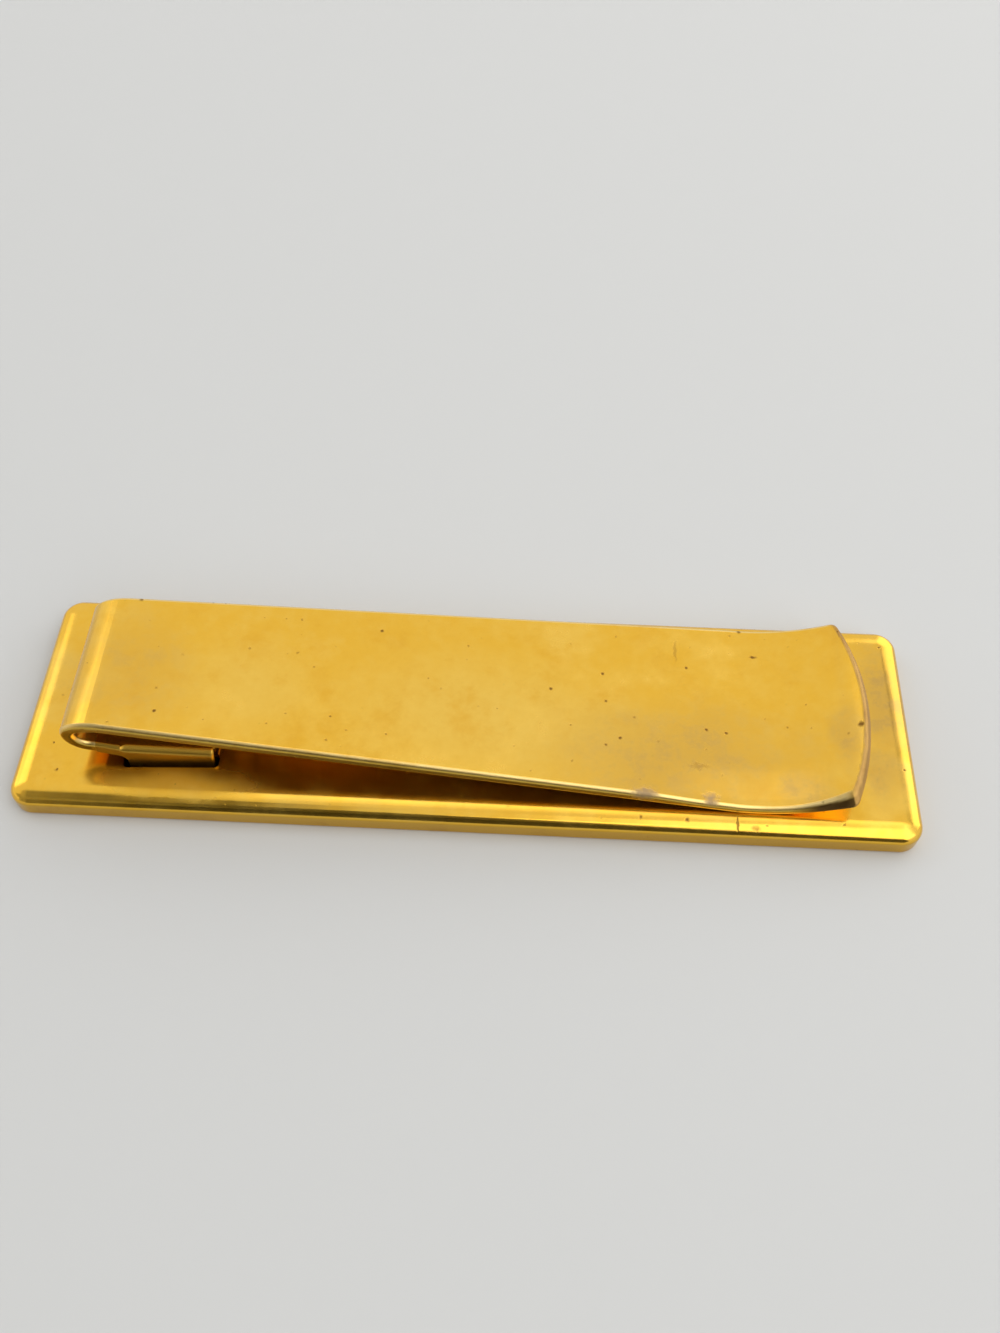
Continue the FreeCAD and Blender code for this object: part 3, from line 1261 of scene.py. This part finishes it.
    def stretch(self, blank: bpy.types.Object, name: str, start: float | None, end: float | None,
                rows: Sequence[float]) -> bpy.types.Object:
        """Take a stretch of the blank and cut it into rows that can bend.

        Args:
            blank: The flat strip.
            name: Name of the new piece.
            start: Where the stretch starts, or None at the blank's own start.
            end: Where it ends, or None at the blank's own end.
            rows: Where it is cut across.

        Returns:
            The stretch, still flat.
        """
        piece = Bench.copy(blank, name)
        with Bench.editing(piece):
            for place, keep in ((start, Keep.FRONT), (end, Keep.BEHIND)):
                if place is not None:
                    Bench.cut((place, 0.0, 0.0), (1.0, 0.0, 0.0), keep)
            Bench.cut_across(rows)
        return piece

    def bend(self, piece: bpy.types.Object, line: bpy.types.Object) -> None:
        """Bend a flat stretch along the strip's line and stand it up in the part's frame.

        Args:
            piece: The flat stretch.
            line: The curve of the strip's inner face, drawn flat.
        """
        Bench.hold(piece)
        step = piece.modifiers.new("bend", "CURVE")
        step.object = line
        step.deform_axis = "POS_X"
        bpy.ops.object.modifier_apply(modifier=step.name)
        piece.rotation_euler = (math.pi / 2, 0.0, 0.0)
        Bench.settle()

    def line(self) -> bpy.types.Object:
        """Draw the strip's line flat, with height as Y.

        Returns:
            The curve object.
        """
        points = self.path()
        curve = bpy.data.curves.new("strip_line", "CURVE")
        curve.dimensions = "3D"
        curve.twist_mode = "Z_UP"
        spline = curve.splines.new("POLY")
        spline.points.add(len(points) - 1)
        for drawn_point, (x, z) in zip(spline.points, points):
            drawn_point.co = (x, z, 0.0, 1.0)
        return hang("strip_line", curve)

    def on_side(self, point: bmesh.types.BMVert) -> bool:
        """Say whether a point of the flat foot lies on one of its sides."""
        return abs(abs(point.co.z) - self.foot_half_width(self.foot_length - point.co.x)) < SIDE_NEAR

    def is_foot_rim(self, edge: bmesh.types.BMEdge, seam: float, upper: bool) -> bool:
        """Say whether an edge of the flat foot is a sharp rim of a side, away from the foot's two ends.

        Args:
            edge: The edge.
            seam: Where the foot meets the roll, along the strip.
            upper: Whether rims of the face that bends into the ears are meant, or the others.

        Returns:
            Whether it is such a rim.
        """
        ends = [v.co for v in edge.verts]
        if all(v.x > seam - NEAR for v in ends) or all(v.x < NEAR for v in ends):
            return False
        if all(v.y < NEAR for v in ends) != upper or len(edge.link_faces) != 2:
            return False
        return all(self.on_side(v) for v in edge.verts) and edge.calc_face_angle() > SHARP

    def foot(self, seam: float) -> bpy.types.Object:
        """Cut the flat foot, with an ear that hangs from each side.

        Args:
            seam: Where the foot meets the roll, along the strip.

        Returns:
            The foot, still flat.
        """
        wide = self.foot_half_width(self.ear_start)
        widths = {0.0: self.foot_half_width(self.foot_length),
                  seam: self.foot_half_width(self.foot_length - seam)}
        piece = Bench.block("spring_foot_strip", (0.0, 0.0, -wide), (seam, self.thickness, wide))
        inside = widths[0.0] - self.ear_thickness
        with Bench.editing(piece):
            Bench.cut_across((self.ear_length,))
            self.bring_to_width(piece, widths, wide)
            for side in (-1.0, 1.0):
                Bench.cut((0.0, 0.0, side * inside), (-side * self.taper, 0.0, 1.0))
            Bench.pick(piece, Pick.FACES, lambda f: f.normal.y > FACING
                       and f.calc_center_median().x < self.ear_length
                       and abs(f.calc_center_median().z) > inside)
            bpy.ops.mesh.extrude_region_move(TRANSFORM_OT_translate={"value": (0.0, self.ear_drop, 0.0)})
            Bench.pick(piece, Pick.EDGES, lambda e: all(
                abs(v.co.x - self.ear_length) < NEAR and abs(v.co.y - self.thickness) < NEAR
                and abs(v.co.z) > inside - NEAR for v in e.verts))
            Bench.round_edges(self.ear_root_radius, self.ear_root_strips)
            Bench.pick(piece, Pick.EDGES, lambda e: all(
                v.co.y < NEAR and v.co.x < self.ear_length + NEAR and self.on_side(v) for v in e.verts))
            Bench.round_edges(self.ear_bend_radius, self.ear_bend_strips)
            for upper, radius in ((True, self.under_rim_radius), (False, self.foot_rim_radius)):
                Bench.pick(piece, Pick.EDGES, lambda e: self.is_foot_rim(e, seam, upper))
                Bench.round_edges(radius, self.rim_strips)
            Bench.pick(piece, Pick.EDGES, lambda e: all(v.co.x < NEAR for v in e.verts)
                       and e.calc_face_angle() > SHARP)
            Bench.round_edges(self.ear_end_radius, self.rim_strips)
        return piece

    def fold_ears(self, piece: bpy.types.Object) -> None:
        """Cut the hanging ears to length and fold their ends inwards under the tray's back wall.

        Args:
            piece: The foot, in place.
        """
        level = self.tray.depth - self.tray.wall
        with Bench.editing(piece):
            Bench.cut((0.0, 0.0, level - self.ear_thickness), (0.0, 0.0, 1.0), Keep.FRONT)
            Bench.cut((0.0, 0.0, level), (0.0, 0.0, 1.0))
            for side in (-1.0, 1.0):
                Bench.pick(piece, Pick.FACES, lambda f: -side * f.normal.y > FACING
                           and side * f.calc_center_median().y > 0.0 and f.calc_center_median().z < level)
                bpy.ops.mesh.extrude_region_move(
                    TRANSFORM_OT_translate={"value": (0.0, -side * self.ear_fold_length, 0.0)})

    def build(self) -> None:
        """Cut the blank, share it out and bend each stretch into place."""
        roll, arm, lip, end = self.stations
        blank, line = self.blank(), self.line()
        seams = roll - self.seam_shift, arm + self.seam_shift
        roll_rows = [roll + (arm - roll) * n / self.roll_rows for n in range(self.roll_rows + 1)]
        lip_rows = [arm + self.roll_reach * n / self.reach_rows for n in range(self.reach_rows + 1)]
        lip_rows += [lip + (end - lip) * n / self.lip_rows for n in range(self.lip_rows)]
        foot = self.foot(seams[0])
        turn = self.stretch(blank, "spring_roll_strip", *seams, roll_rows)
        free = self.stretch(blank, "spring_arm_strip", seams[1], None, lip_rows)
        for piece in (foot, turn, free):
            self.bend(piece, line)
        self.fold_ears(foot)
        for piece in (foot, turn, free):
            Bench.finish(piece)
        self.pieces = {"spring_foot": foot, "spring_roll": turn, "spring_arm": free}
        bpy.data.objects.remove(line)
        bpy.data.objects.remove(blank)

    def zones(self, node: str, place: Vector, normal: Vector) -> dict[Zone, float]:
        """Say how far each zone of wear or of painted light and shade reaches a point of a finished stretch.

        Args:
            node: Name of the stretch.
            place: The point, in millimetres.
            normal: Its normal.

        Returns:
            The level of each zone, from 0 to 1.
        """
        across, down = abs(normal.y), -normal.z
        levels = dict.fromkeys((Zone.UNDER, Zone.SIDE, Zone.RIM, Zone.DULL, Zone.TARNISH, Zone.END), 0.0)
        if node == "spring_foot":
            # Painted shade: the foot's sides and ears darker, under the arm.
            levels[Zone.DULL] = self.foot_side_band.rise(across)
            # Painted shade, near black, under the foot and its folded ears.
            levels[Zone.TARNISH] = self.foot_under_band.rise(down)
            return levels
        past = self.end_run.rise(place.x)
        levels[Zone.SIDE] = self.side_band.rise(across) * (1.0 - past)
        # Rims: rubbed wear, and a painted highlight.
        levels[Zone.RIM] = self.rim_band.rise(across) * (1.0 - self.rim_fade.rise(across)) * (1.0 - past)
        levels[Zone.END] = past * self.end_band.rise(normal.dot(self.end_way))
        # Painted light: the undersides paler.
        levels[Zone.UNDER] = self.under_band.rise(down)
        # Painted shade, near black, on the front rim below the lip's pressed corner.
        if normal.y < 0.0:
            levels[Zone.TARNISH] = self.painted_deep_shade_band.rise(across) * self.painted_deep_shade_run.rise(place.x)
        # Painted shade inside and under the roll.
        if node == "spring_roll":
            inwards = Vector((self.roll_place[0], place.y, self.roll_place[1])) - place
            inner = self.roll_inner_band.rise(normal.dot(inwards.normalized()))
            dull = max(inner, self.roll_under_band.rise(down))
            levels[Zone.DULL] = dull * (1.0 - self.roll_side_fade.rise(across))
        return levels

    def dress(self, finish: bpy.types.Material) -> None:
        """Give the strip its finish and its place in the part.

        Args:
            finish: Finish of the whole strip, with its zones of wear and of painted light and shade.
        """
        for node, piece in self.pieces.items():
            Bench.mark_zones(piece, lambda place, normal: self.zones(node, place, normal))
            Bench.coat(piece, finish)
            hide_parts(node)
        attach(self.pieces["spring_foot"], Body.PLATE.value)
        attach(self.pieces["spring_arm"], Body.ARM.value)
        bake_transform(self.pieces["spring_roll"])
        for piece in self.pieces.values():
            log.info("%s: stretch of the hairpin strip", piece.name)


@dataclass(frozen=True)
class Softbox:
    """A large soft lamp, in metres."""

    name: str
    place: Point
    size: tuple[float, float]
    radiance: float
    aim: Point = (0.0, 0.0, 0.0)
    turn: float = 0.0

    def add(self) -> None:
        """Hang the lamp so that it faces its aim, turned about its own axis."""
        lamp = bpy.data.lights.new(self.name, "AREA")
        lamp.shape = "RECTANGLE"
        lamp.size, lamp.size_y = self.size
        lamp.energy = self.radiance * math.pi * self.size[0] * self.size[1]
        hung = hang(self.name, lamp)
        hung.location = self.place
        facing = (Vector(self.aim) - Vector(self.place)).to_track_quat("-Z", "Y")
        hung.rotation_euler = (facing @ Quaternion((0.0, 0.0, 1.0), self.turn)).to_euler()


@dataclass(frozen=True)
class DarkCard:
    """A flat card that keeps light off the clip, paler at its left end where that is set, in metres."""

    outline: tuple[Point, ...]
    grey: float
    left_grey: float | None = None
    fade: tuple[float, float] = (-0.25, -0.15)

    def material(self, name: str) -> bpy.types.Material:
        """Paint the card.

        Args:
            name: Name of the material.

        Returns:
            The matt material.
        """
        made, nodes, shader = new_material(name)
        shader.inputs["Roughness"].default_value = 1.0
        shader.inputs["Base Color"].default_value = (self.grey, self.grey, self.grey, 1.0)
        if self.left_grey is not None:
            place = nodes.add("ShaderNodeTexCoord").outputs["Object"]
            along = nodes.feed(nodes.add("ShaderNodeSeparateXYZ"), Vector=place).outputs[0]
            nodes.feed(shader, Base_Color=nodes.ramp(along, *self.fade, self.left_grey, self.grey))
        return made

    def add(self, name: str) -> None:
        """Hang the card, out of the camera's sight.

        Args:
            name: Name of the card.
        """
        Bench.clear()
        bpy.ops.mesh.primitive_circle_add(vertices=len(self.outline), fill_type="NGON")
        card = bpy.context.object
        card.name = name
        for point, place in zip(card.data.vertices, self.outline):
            point.co = place
        card.data.materials.append(self.material(name))
        card.visible_camera = False


@dataclass
class Studio:
    """Pale floor, soft lamps, dark cards and the camera."""

    floor_size: float = 3.0
    floor_level: float = -0.00001
    floor_colour: Colour = (0.66, 0.66, 0.645)
    floor_rough: float = 0.85
    world_level: float = 0.85
    cards: tuple[DarkCard, ...] = (
        DarkCard(((-0.90, -0.60, 0.002), (0.45, -0.60, 0.002), (0.40, -0.60, 0.25), (0.16, -0.60, 0.40),
                  (-0.90, -0.60, 0.40)), 0.07, 0.60, (-0.36, -0.20)),
        DarkCard(((-0.90, -0.60, 0.40), (0.16, -0.60, 0.40), (-0.02, -0.13, 0.40), (-0.14, 0.03, 0.40),
                  (-0.90, -0.13, 0.40)), 0.20, 0.80),
        DarkCard(((0.453, 0.211, 0.455), (0.287, 0.41, 0.455), (0.287, 0.41, 0.50),
                  (0.453, 0.211, 0.50)), 0.10),
    )
    lamps: tuple[Softbox, ...] = (
        Softbox("softbox_above", (0.25, -0.24, 0.45), (0.55, 0.62), 1.12),
        Softbox("softbox_behind", (0.10, 0.115, 0.46), (0.45, 0.07), 0.92, (0.10, 0.0, 0.0)),
        Softbox("softbox_left", (-0.334, 0.174, 0.265), (0.17, 0.10), 1.05, turn=-0.81),
        Softbox("softbox_right", (0.36, 0.30, 0.20), (0.45, 0.33), 1.10),
    )
    camera_place: Point = (0.00361556, -0.03561264, 0.05997992)
    camera_pitch: float = 0.98414
    camera_yaw: float = 0.05114
    camera_roll: float = 0.00098
    camera_clip: tuple[float, float] = (0.001, 20.0)
    focal_share: float = 1200.0 / 1333.0
    sensor: float = 36.0

    def floor(self) -> None:
        """Lay the floor just under the clip."""
        Bench.clear()
        bpy.ops.mesh.primitive_plane_add(size=self.floor_size, location=(0.0, 0.0, self.floor_level))
        laid = bpy.context.object
        laid.name = "floor"
        pale, _, shader = new_material("pale_floor")
        shader.inputs["Base Color"].default_value = (*self.floor_colour, 1.0)
        shader.inputs["Roughness"].default_value = self.floor_rough
        laid.data.materials.append(pale)

    def flags(self) -> None:
        """Hang the dark cards."""
        for number, card in enumerate(self.cards, 1):
            card.add(f"dark_card_{number}")

    def light(self) -> None:
        """Set the even surrounding light and hang the lamps."""
        world = bpy.data.worlds.new("studio")
        bpy.context.scene.world = world
        world.use_nodes = True
        around = world.node_tree.nodes["Background"]
        around.inputs["Color"].default_value = (1.0, 1.0, 1.0, 1.0)
        around.inputs["Strength"].default_value = self.world_level
        for lamp in self.lamps:
            lamp.add()

    def camera(self) -> None:
        """Place the camera at the photograph's viewing angle."""
        lens = bpy.data.cameras.new("camera")
        lens.sensor_width = self.sensor
        lens.lens = self.sensor * self.focal_share
        lens.clip_start, lens.clip_end = self.camera_clip
        eye = hang("camera", lens)
        turn = (Matrix.Rotation(self.camera_yaw, 3, "Z")
                @ Matrix.Rotation(math.pi / 2 - self.camera_pitch, 3, "X")
                @ Matrix.Rotation(-self.camera_roll, 3, "Z"))
        eye.matrix_world = Matrix.Translation(self.camera_place) @ turn.to_4x4()
        bpy.context.scene.camera = eye

    def build(self) -> None:
        """Set up the whole studio."""
        self.floor()
        self.flags()
        self.light()
        self.camera()
        bpy.context.scene.view_settings.view_transform = "Standard"
        log.info("studio: floor, %d cards, %d lamps and camera", len(self.cards), len(self.lamps))


ARM_DOTS = ((14.4, -1.3, 2.6), (7.7, -2.7, 3.2), (-5.1, 3.5, 4.2), (4.6, 0.6, 3.4), (12.3, 2.8, 2.8),
            (-16.6, -3.0, 5.2), (7.7, 0.1, 3.2), (8.5, -2.2, 3.1), (10.6, -2.2, 3.0), (7.5, 1.9, 3.2),
            (13.3, -1.2, 2.7), (9.3, -0.8, 3.1))
ARM_SPECKS = (
    *(Mark(place, 0.15, soft=0.7, ragged=0.1) for place in ARM_DOTS),
    Mark((16.2, 3.9, 2.5), 0.28, (1.0, 1.8, 1.0)),
    Mark((21.5, -1.2, 4.0), 0.22),
    Mark((15.5, 5.7, 2.5), 0.20),
    Mark((-18.8, 4.2, 5.4), 0.20),
    Mark((11.7, 3.9, 2.8), 0.90, (6.0, 1.0, 1.0), 0.6, 0.3, 0.35),
    Mark((12.8, -3.5, 2.7), 0.80, (1.0, 3.0, 1.0), 0.8, 0.6, 0.35),
)
ARM_PALE = (
    Mark((1.5, -1.6, 3.6), 9.0, (0.75, 1.5, 1.0), 0.9, 2.4, 0.9, 300.0),
    Mark((-12.0, -1.0, 4.8), 4.5, (0.8, 1.0, 1.0), 0.9, 1.6, 0.7, 400.0),
)
ARM_STAINS = (
    Mark((9.2, -4.2, 3.0), 2.8, (0.7, 1.3, 1.0), 0.95, 2.2, 0.5, 550.0),
    Mark((13.4, -3.2, 2.7), 3.2, (0.8, 1.1, 1.0), 0.95, 2.4, 0.55, 550.0),
    Mark((18.2, -4.6, 2.8), 2.2, (0.8, 1.1, 1.0), 0.95, 1.0, 0.8, 600.0),
    Mark((20.9, -1.8, 3.7), 2.3, (1.4, 0.8, 1.0), 0.9, 1.2, 0.6, 500.0),
    Mark((-18.5, -0.5, 5.4), 4.5, (0.9, 0.8, 1.0), 0.95, 2.0, 0.4, 350.0),
    Mark((12.0, -3.4, 2.8), 9.0, (0.85, 1.6, 1.0), 0.95, 3.0, 0.65, 300.0),
)
RIM_NICKS = (
    Mark((9.8, -5.5, 2.95), 0.75, (0.75, 1.4, 1.0), 0.8, 0.7, 0.85),
    Mark((13.4, -5.5, 2.75), 0.65, (1.0, 1.0, 1.0), 0.8, 0.7, 0.85),
)
TRAY_SPECKS = (
    Mark((-23.1, -3.2, 1.6), 0.12),
    Mark((-22.5, -4.9, 1.6), 0.14),
    Mark((23.9, 5.6, 1.6), 0.14),
    Mark((20.6, -6.1, 1.6), 0.12),
    Mark((24.3, -2.6, 1.55), 0.12),
    Mark((12.2, -6.2, 1.5), 0.20, ragged=0.15),
    Mark((9.7, -6.2, 1.5), 0.16, ragged=0.15),
    Mark((15.9, -6.5, 1.4), 0.22, (0.6, 1.0, 1.0), strength=0.6),
    Mark((14.9, -6.3, 1.5), 0.55, (6.0, 1.0, 1.0), 0.5, 0.25, 0.75),
)
TRAY_STAINS = (
    Mark((23.6, 1.9, 1.6), 3.2, (1.2, 0.6, 1.0), 0.9, 1.8, 0.85, 500.0),
    Mark((23.0, -2.6, 1.6), 2.4, (1.1, 0.8, 1.0), 0.9, 1.6, 0.7, 600.0),
    Mark((-22.6, 1.0, 1.6), 3.0, (1.0, 0.7, 1.0), 0.95, 1.6, 0.4, 500.0),
)
TRAY_SCUFFS = (
    Mark((-15.8, -5.3, 1.6), 5.4, (0.85, 3.4, 1.0), 1.0, 0.9, 1.0, 500.0),
)
TRAY_ZONES = (
    # Upright walls of the tray, darker: painted shade.
    Overlay(Zone.WALL, (0.66, 0.39, 0.038), (0.56, 0.31, 0.028), 0.22),
)
STRIP_ZONES = (
    # Undersides of the strip, paler: painted light.
    Overlay(Zone.UNDER, (0.94, 0.79, 0.32), (0.88, 0.68, 0.22), 0.26),
    Overlay(Zone.SIDE, (0.62, 0.40, 0.06), (0.46, 0.27, 0.03), 0.23),
    # Rims of the strip, paler: rubbed wear, and a painted highlight along them.
    Overlay(Zone.RIM, (0.91, 0.70, 0.30), (0.80, 0.52, 0.14), 0.40, 0.9),
    # Inside and under the roll, and the foot's sides and ears, darker: painted shade; also rougher.
    Overlay(Zone.DULL, (0.58, 0.34, 0.045), (0.44, 0.24, 0.025), 0.36),
    # Under the foot and on the front rim below the lip, near black: painted shade.
    Overlay(Zone.TARNISH, (0.11, 0.06, 0.017), (0.06, 0.03, 0.01), 0.45),
    Overlay(Zone.END, (0.52, 0.31, 0.095), (0.40, 0.22, 0.06), 0.48),
)


def main() -> None:
    """Build the pieces, dress them and set up the studio."""
    logging.basicConfig(level=logging.INFO, format="%(name)s: %(message)s")
    polished = GiltFinish("polished_gilt", rough_low=0.16, rough_high=0.23, wave_scale=420.0,
                          wave_depth=0.00002, stain_marks=TRAY_STAINS, dirt_marks=TRAY_SPECKS,
                          scuff_marks=TRAY_SCUFFS, overlays=TRAY_ZONES)
    satin = GiltFinish("satin_gilt", rough_low=0.20, rough_high=0.30, pale_marks=ARM_PALE,
                       stain_marks=ARM_STAINS, dirt_marks=ARM_SPECKS, bare_marks=RIM_NICKS,
                       overlays=STRIP_ZONES)
    front = GiltFinish("front_gilt", rough_low=0.14, rough_high=0.22)
    # Near-black finish of the tray's hollow, seen through the slots: painted shade.
    inside = GiltFinish("painted_shade_hollow", rough_low=0.45, rough_high=0.6, gold=(0.10, 0.05, 0.015),
                        pale=(0.12, 0.07, 0.02), deep=(0.06, 0.03, 0.01))
    tray = PressedTray()
    spring = HairpinSpring(tray)
    tray.build(spring.slots())
    tray.dress(polished.material(), inside.material())
    panel = FacePanel()
    panel.build(tray)
    panel.dress(front.material())
    spring.build()
    spring.dress(satin.material())
    Studio().build()


if __name__ == "__main__":
    main()
